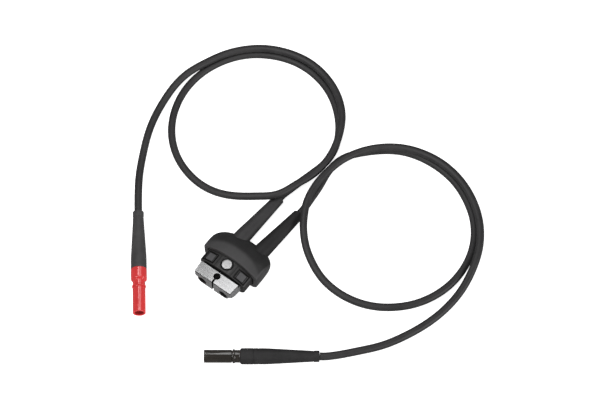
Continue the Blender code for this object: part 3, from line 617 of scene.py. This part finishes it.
# ================================================================= the plugs
for colour in ("red", "black"):
    mouth, end = (Vector(v) for v in PLUG_AXIS[colour])
    ax = (end - mouth).normalized()
    end = mouth + ax * PLUG_LEN

    def at(h):
        return tuple(mouth + ax * h)

    L = COLLAR_END
    rs, wall, rc = SHROUD_DIA / 2, SHROUD_WALL, COLLAR_DIA / 2
    prof = [(rs - wall, L - 0.3), (rs - wall + 0.35, L), (rs, L), (rs, L - SHROUD_LEN + 0.1),
            (rs - 0.5, L - SHROUD_LEN - 0.1), (rs - 0.5, L - SHROUD_LEN - 0.7),
            (rs + 0.42, L - SHROUD_LEN - 0.85), (rs + 0.42, L - SHROUD_LEN - 2.0),
            (rs - 0.1, L - SHROUD_LEN - 2.5), (rs - 0.1, L - NECK_END + 0.6), (rc, L - NECK_END - 0.3),
            (rc, 0.0), (3.6, 0.0), (3.6, 6.5), (1.9, 6.5), (1.9, 13.0), (rs - wall, 13.6)]
    rad = [0, 0.15, 0.3, 0.1, 0.1, 0.1, 0.25, 0.25, 0.3, 0.3, 0.7, 0.3, 0, 0, 0, 0, 0]
    body = lathe("plug_shell_" + colour, fillet(prof, rad), at(L), at(0), M_RED if colour == "red" else M_GLOSS)
    if colour == "black":
        paint_where(body, M_PLUGBOOT, lambda c, nv: (c - Vector(mouth)).dot(ax) > NECK_END - 0.4)
    # Painted shade inside the plug shells: near-black in the black plug, darker red in the red plug.
    paint_where(body, M_RED_BORE_SHADED if colour == "red" else M_DARK_AND_SHADE, lambda c, nv: (
        ((c - Vector(mouth)) - ax * (c - Vector(mouth)).dot(ax)).length < rs - wall + 0.06 and (c - Vector(mouth)).dot(ax) > 0.5))
    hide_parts("plug_body_" + colour)
    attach(body, "head")
    rt = PLUG_BOOT_TIP_DIA / 2
    B = PLUG_LEN - COLLAR_END - 0.05
    prof = [(2.9, B), (rc - 0.05, B), (rc - 0.05, B - 3.2), (rc - 0.2, B - 3.5), (rc - 0.2, B - 4.0), (rc - 0.05, B - 4.3),
            (rc - 0.1, B - 10.0)]
    rad = [0, 0.5, 0.1, 0.1, 0.1, 0.1, 3.0]
    for k in range(1, 9):
        s = k / 9
        prof.append((rc - 0.1 + (rt - 0.15 - rc + 0.1) * s, B - 10.0 - (B - 10.0 - 4.4) * s))
        rad.append(0.5)
    prof += [(rt - 0.15, 4.4), (rt - 0.3, 4.1), (rt - 0.3, 3.7), (rt, 3.4), (rt, -0.45), (3.0, -0.45), (3.0, 1.2), (1.4, 1.2),
             (1.4, B - 13.0), (2.9, B - 12.2)]
    rad += [0.2, 0.1, 0.1, 0.2, 0.5, 0.15, 0, 0, 0, 0]
    # The red plug's grip takes the paler copy of the rubber (painted light), the black plug's grip the darker one
    # (painted shade).
    boot = lathe("plug_grip_" + colour, fillet(prof, rad), tuple(end), tuple(mouth), M_PLUGBOOT if colour == "black" else M_PLUGBOOT_LIT)
    # Painted shade: near-black on the grip's end face where the lead goes in.
    paint_where(boot, M_DARK_AND_SHADE, lambda c, nv: nv.dot(ax) > 0.85)
    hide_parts("plug_boot_" + colour)
    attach(boot, "head")
    paint(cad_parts["plug_pin_" + colour], M_NICKEL)
    paint(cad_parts["plug_spring_cage_" + colour], M_BRASS)
    paint(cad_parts["plug_ferrule_" + colour], M_NICKEL)

# ======================================================== the hood and boots
HOOD_SECTIONS = [
    (LIP_Y, 24.1, 24.5), (LIP_Y + 0.7, 24.4, 24.9), (3.0, 24.4, 25.0),
    (6.5, 24.4, 24.9), (8.6, 24.3, 24.2), (11.5, 24.1, 21.9), (14.5, 23.4, 19.2),
    (17.5, 21.8, 16.3), (20.0, 19.2, 13.6), (22.0, 15.8, 11.2), (23.3, 12.6, 9.6),
    (HEAD_REAR_Y, 9.6, 8.6),
]


def hood_ring(y, w, top):
    k = max(0.0, min(1.0, (12.0 - y) / 12.0))
    return section(y, w, top, 0.0, HOOD_ARCH_R, min(HOOD_FOOT_R, 0.5 * top), min(CREASE, 0.25 * top),
                   sweep=LIP_SWEEP * k)


def fine_sections(rows, n):
    """Smooth in-between sections of the hood, kept monotone."""
    rows = np.array(rows)
    t = np.concatenate([[0.0], np.cumsum(np.linalg.norm(np.diff(rows, axis=0), axis=1))])
    u = np.linspace(0, t[-1], n)
    out = np.stack([np.interp(u, t, rows[:, k]) for k in range(3)], axis=1)
    ker = np.array([1, 2, 3, 2, 1.0]) / 9
    for _ in range(1):
        mid = np.stack([np.convolve(np.pad(out[:, k], 2, mode="reflect", reflect_type="odd"), ker, mode="valid") for k in range(3)], axis=1)
        mid[0], mid[-1] = out[0], out[-1]
        out = mid
    return [tuple(r) for r in out]


front = [(LIP_Y, 23.8, 24.2), (LIP_Y + 0.12, 24.05, 24.5), (LIP_Y + 0.35, 24.25, 24.75), (LIP_Y + 0.75, 24.38, 24.92)]
rest = fine_sections(HOOD_SECTIONS[2:], 44)
hood = loft("hood_shell", [hood_ring(*s) for s in front + [(0.8, 24.4, 25.0)] + rest], M_HOOD)
cutters = [loft("c", [insert_section(-6.0, 0.75), insert_section(LIP_Y + 0.3, 0.75),
                     insert_section(LIP_Y + 1.4, GAP), insert_section(8.0, GAP)])]
for side in ("left", "right"):
    q0, q1 = boot_axis(side)
    d = (q1 - q0) / np.linalg.norm(q1 - q0)
    r0 = BOOT_ROOT_DIA / 2 + 0.12
    cutters.append(cylinder("c", tuple(q0 - d * 3.0), tuple(q0 + d * 22.0), r0, r0, 72))
carve(hood, cutters)
smooth(hood, 35.0)
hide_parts("grip_hood")
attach(hood, "head")

for side in ("left", "right"):
    q0, q1 = boot_axis(side)
    length = float(np.linalg.norm(q1 - q0))
    r0, r1 = BOOT_ROOT_DIA / 2, BOOT_TIP_DIA / 2
    prof = [(3.0, length + 0.45), (r1, length + 0.45)]
    rad = [0.1, 0.7]
    for k in range(0, 10):
        s = k / 9
        prof.append((r1 + (r0 - r1) * (s ** 1.05), length - 0.6 - (length - 17.0) * s))
        rad.append(0.5)
    prof += [(r0, 0.4), (r0 - 0.4, 0.0), (1.9, 0.0), (1.9, length - 1.2), (3.0, length - 1.2)]
    rad += [0.2, 0, 0, 0, 0]
    # The right boot takes the darker copy of the rubber, painted shade.
    b = lathe("boot_" + side, fillet(prof, rad), tuple(q0), tuple(q1), M_BOOT if side == "left" else M_BOOT_SHADED)
    # Painted shade: near-black on the boot's end face at the lead.
    paint_where(b, M_DARK_AND_SHADE, lambda c, nv: nv.dot((Vector(q1) - Vector(q0)).normalized()) > 0.85)
    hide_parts("cable_boot_" + side)
    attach(b, "head")

for side in ("left", "right"):
    ob, colour, path, length = LEADS[side]

# ================================================================ the insert
insert = loft("insert_shell", [insert_section(INSERT_FRONT_Y, trim=0.5), insert_section(INSERT_FRONT_Y + 0.15, trim=0.25),
                               insert_section(INSERT_FRONT_Y + 0.55), insert_section(-8.0), insert_section(-3.0),
                               insert_section(INSERT_REAR_Y)], M_INSERT)
PAD_X, PAD_Y, PAD_Z, PAD_TILT = 14.1, -7.5, 19.85, 17.0


def on_arch(ob, sx, dz=0.0):
    m4 = (Matrix.Translation(Vector((sx * PAD_X, PAD_Y, PAD_Z + dz)) * MM)
          @ Matrix.Rotation(math.radians(sx * PAD_TILT), 4, "Y"))
    ob.data.transform(m4)
    return ob


def frame_cut(name, w, d, t, depth):
    """A rectangular groove: outer size w by d, width t."""
    o = box(name, (-w / 2, -d / 2, -depth), (w / 2, d / 2, 3.0))
    i = box(name, (-w / 2 + t, -d / 2 + t, -depth - 1), (w / 2 - t, d / 2 - t, 4.0))
    return carve(o, [i])


cutters = [box("c", (-16.0, -3.5, 6.4), (16.0, 9.0, 16.0))]
for sx in (-1, 1):
    x = sx * SOCKET_PITCH / 2
    cutters.append(cylinder("c", (x, -20, SOCKET_Z), (x, 0, SOCKET_Z), 3.5, None, 64))
    cutters.append(on_arch(box("c", (-3.3, -3.3, -1.5), (3.3, 3.3, 3.0)), sx))
    cutters.append(on_arch(frame_cut("c", 10.2, 8.6, 1.0, 1.3), sx))
    cutters.append(box("c", (sx * 7.3 - 0.3, -13.2, 21.1), (sx * 7.3 + 0.3, -2.4, 24.0)))
cutters.append(cylinder("c", (0, BUTTON_Y, 14.6), (0, BUTTON_Y, 26), BEZEL_OUTER / 2 + 0.25, None, 96))
cutters.append(cylinder("c", (0, BUTTON_Y, 7.0), (0, BUTTON_Y, 16), 1.85, None, 32))
cutters.append(box("c", (-2.9, -14.0, 10.4), (2.9, -2.9, 12.8)))
carve(insert, cutters)
soften(insert, 0.18, 2, 34.0)


def under_arch(c, depth):
    return c.z < INSERT_TOP_Z - INSERT_ARCH_R + math.sqrt(INSERT_ARCH_R ** 2 - c.x ** 2) - depth


# Painted shade: near-black in the pad windows, the two grooves beside the button and the hole round it.
paint_where(insert, M_DARK_AND_SHADE, lambda c, nv: (
    (8.5 < abs(c.x) < 18.9 and -11.9 < c.y < -3.1 and c.z > 14.0 and under_arch(c, 0.3))
    or (abs(abs(c.x) - 7.3) < 0.4 and c.z > 20.0 and under_arch(c, 0.12))
    or (math.hypot(c.x, c.y - BUTTON_Y) < BEZEL_OUTER / 2 + 0.3 and c.z > 14.0)))
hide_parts("insert_body")
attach(insert, "head")

for side, sx in (("left", -1), ("right", 1)):
    pad = box("pad_" + side, (-2.9, -2.9, -1.1), (2.9, 2.9, 0.15))
    on_arch(pad, sx)
    soften(pad, 0.35, 4)
    paint(pad, M_PAD)
    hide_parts("side_pad_" + side)
    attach(pad, "head")

# ================================================================= the block
def block_ring(y, w, half_low, z_shoulder, n=10):
    low, top, r = BLOCK_BOTTOM_Z, PLATE_TOP_Z - PLATE_THICK - 0.55, 3.6
    rz = min(r, z_shoulder - 0.3 - low)
    half = [(w, top), (w, z_shoulder + 0.8), (w - 0.5, z_shoulder), (half_low + 0.5, z_shoulder - 0.2)]
    for k in range(n):
        a = math.radians(-90 * k / (n - 1))
        half.append((half_low - r + r * math.cos(a) + 0.5 * (1 - k / (n - 1)), low + rz + rz * math.sin(a)))
    ring = half + [(-x, z) for x, z in reversed(half)]
    return [(x, y, z) for x, z in ring]


block = loft("socket_block", [
    block_ring(HEAD_FRONT_Y, BLOCK_HALF_W_FRONT - 0.1, 13.5, 14.3),
    block_ring(HEAD_FRONT_Y + 0.5, BLOCK_HALF_W_FRONT, 13.6, 13.4),
    block_ring(HEAD_FRONT_Y + 1.7, BLOCK_HALF_W_FRONT + 0.1, 13.9, 11.3),
    block_ring(HEAD_FRONT_Y + 5.0, BLOCK_HALF_W_REAR - 0.4, 14.5, 9.4),
    block_ring(BLOCK_REAR_Y, BLOCK_HALF_W_REAR, 14.8, 9.2)], M_BLOCK)
cutters = []
for sx in (-1, 1):
    x = sx * SOCKET_PITCH / 2
    cutters.append(cylinder("c", (x, -30, SOCKET_Z), (x, -8, SOCKET_Z), SOCKET_BORE / 2, None, 80))
cutters.append(cylinder("c", (0, KEY_HOLE_Y, 0), (0, KEY_HOLE_Y, 30), KEY_HOLE_DIA / 2, None, 80))
cutters.append(box("c", (-KEY_SLIT / 2, -30, 0), (KEY_SLIT / 2, KEY_HOLE_Y, 30)))
cutters.append(box("c", (-2.9, -16.9, 10.4), (2.9, -10, 12.8)))
cutters.append(box("c", (-20, PLATE_REAR_Y, 17.4), (20, -10, 25)))
carve(block, cutters)
soften(block, 0.3, 3, 30.0)
# Painted shade: near-black on the block under the plate, in the key hole and slit, on the step behind the plate and in
# the socket bores.
paint_where(block, M_DARK_AND_SHADE, lambda c, nv: (
    (c.z > PLATE_TOP_Z - PLATE_THICK - 0.62 and nv.z > 0.7)
    or math.hypot(c.x, c.y - KEY_HOLE_Y) < KEY_HOLE_DIA / 2 + 0.15
    or (abs(c.x) < KEY_SLIT / 2 + 0.1 and c.y > HEAD_FRONT_Y + 0.5)
    or (c.y > PLATE_REAR_Y - 0.1 and c.z < 17.6 and nv.z > 0.5)
    or (c.y > PLATE_REAR_Y - 0.05 and nv.y > 0.5)
    or (min(math.hypot(c.x - sx * SOCKET_PITCH / 2, c.z - SOCKET_Z) for sx in (-1, 1)) < SOCKET_BORE / 2 + 0.02 and c.y > HEAD_FRONT_Y + 1.2)))
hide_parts("connector_block")
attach(block, "head")

zt, zb = PLATE_TOP_Z, PLATE_TOP_Z - PLATE_THICK
bm = bmesh.new()
base = bm.faces.new([bm.verts.new((x * MM, y * MM, zb * MM)) for x, y in (
    (-BLOCK_HALF_W_FRONT, HEAD_FRONT_Y), (BLOCK_HALF_W_FRONT, HEAD_FRONT_Y),
    (BLOCK_HALF_W_REAR, PLATE_REAR_Y), (-BLOCK_HALF_W_REAR, PLATE_REAR_Y))])
ext = bmesh.ops.extrude_face_region(bm, geom=[base])
bmesh.ops.translate(bm, vec=(0, 0, PLATE_THICK * MM),
                    verts=[v for v in ext["geom"] if isinstance(v, bmesh.types.BMVert)])
bmesh.ops.recalc_face_normals(bm, faces=bm.faces)
plate = from_bm("steel_plate", bm, M_PLATE)
carve(plate, [cylinder("c", (0, KEY_HOLE_Y, 15), (0, KEY_HOLE_Y, 30), KEY_HOLE_DIA / 2, None, 80),
              box("c", (-KEY_SLIT / 2, -30, 15), (KEY_SLIT / 2, KEY_HOLE_Y, 30))])
soften(plate, 0.28, 3, 30.0)
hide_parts("top_plate")
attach(plate, "head")

# ============================================================ button and ring
bz = BUTTON_TOP_Z
prof = [(0.0, 0.0), (2.0, 0.0), (BUTTON_DIA / 2, -0.03), (BUTTON_DIA / 2, -2.3), (1.5, -2.3), (1.5, -12.4), (1.0, -13.2), (0.0, -13.2)]
button = lathe("button_disc", fillet(prof, [0, 0, 0.45, 0.2, 0, 0.1, 0, 0], 6), (0, BUTTON_Y, bz), (0, BUTTON_Y, bz + 1), M_DISC, 96)
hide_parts("release_button")
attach(button, "button")
prof = [(BEZEL_INNER / 2 + 0.1, 21.85), (BEZEL_OUTER / 2, 22.1), (BEZEL_OUTER / 2, 17.4), (BEZEL_INNER / 2, 17.4), (BEZEL_INNER / 2, 21.8)]
# Painted shade: the ring round the button is near-black for the shade of the counterbore.
bezel = lathe("button_ring", fillet(prof, [0, 0.2, 0.1, 0, 0]), (0, BUTTON_Y, 0), (0, BUTTON_Y, 1), M_DARK_AND_SHADE, 96)
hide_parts("button_bezel")
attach(bezel, "head")

# compression spring under the button
SPRING_LOW, SPRING_HIGH, SPRING_R, WIRE = 15.1, 19.7, 2.7, 0.5
turns = []
for i in range(5 * 32 + 1):
    u = i / 32
    pitch = WIRE * 1.08
    h = pitch * u if u < 1 else (SPRING_HIGH - SPRING_LOW - pitch * (5 - u) if u > 4
                                 else pitch + (SPRING_HIGH - SPRING_LOW - 2 * pitch) * (u - 1) / 3)
    turns.append((SPRING_R * math.cos(2 * math.pi * u), BUTTON_Y + SPRING_R * math.sin(2 * math.pi * u), SPRING_LOW + h))
cu = cable("coil", turns, WIRE / 2, M_STEEL, 3)
bpy.context.view_layer.update()
coil = add("spring_coil", bpy.data.meshes.new_from_object(cu.evaluated_get(bpy.context.evaluated_depsgraph_get())))
bpy.data.objects.remove(cu, do_unlink=True)
coil.data.shade_smooth()
paint(coil, M_STEEL)
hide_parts("button_spring")
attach(coil, "head")
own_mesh(coil)

# inner pieces carried over
# The inner leads and the socket sleeves take the near-black finish; down the socket bores it is painted shade.
for n, m in (("latch_bolt", M_STEEL), ("inner_lead_left", M_DARK_AND_SHADE), ("inner_lead_right", M_DARK_AND_SHADE),
             ("socket_sleeve_left", M_DARK_AND_SHADE), ("socket_sleeve_right", M_DARK_AND_SHADE),
             ("socket_contact_left", M_BRASS), ("socket_contact_right", M_BRASS)):
    paint(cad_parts[n], m)

# ============================================================ floor and light
bm = bmesh.new()
bmesh.ops.create_grid(bm, x_segments=1, y_segments=1, size=4.0)
floor = from_bm("floor", bm)
floor.location = (0, 0, -0.00005)
m, nt, p = nodes_of("floor_white")
p.inputs["Base Color"].default_value = (0.93, 0.93, 0.93, 1)
p.inputs["Roughness"].default_value = 0.9
p.inputs["Specular IOR Level"].default_value = 0.1
p.inputs["Emission Color"].default_value = (1, 1, 1, 1)
p.inputs["Emission Strength"].default_value = 0.9
paint(floor, m)
floor.visible_glossy = False

scene.view_settings.view_transform = "Standard"
world = bpy.data.worlds.new("studio")
scene.world = world
world.use_nodes = True
world.node_tree.nodes["Background"].inputs[0].default_value = (1, 1, 1, 1)
world.node_tree.nodes["Background"].inputs[1].default_value = 0.15


def area(name, loc, target, size, power, size_y=None):
    d = bpy.data.lights.new(name, "AREA")
    d.energy = power
    d.size = size
    if size_y:
        d.shape = "RECTANGLE"
        d.size_y = size_y
    ob = bpy.data.objects.new(name, d)
    VIS.objects.link(ob)
    ob.location = loc
    ob.rotation_mode = "QUATERNION"
    ob.rotation_quaternion = (Vector(target) - Vector(loc)).to_track_quat("-Z", "Y")
    return ob


area("gloss_strip", (-0.20, 0.253, 1.08), (0.035, -0.062, 0.0), 0.8, 1.15, 0.09)
side_panel = area("red_panel", (-0.155, 0.058, 0.29), (-0.05, -0.05, 0.0), 0.06, 0.075, 0.06)
side_panel.visible_camera = False
area("front", (-0.34, -0.9, 1.25), (0, 0.05, 0), 0.9, 12.5)
area("right_low", (1.2, 0.12, 0.45), (0, 0.05, 0), 0.7, 8.0, 0.4)
near = area("plate_panel", (-0.028, 0.095, 0.29), (0.015, -0.02, 0.02), 0.13, 0.18, 0.26)
near.visible_camera = False
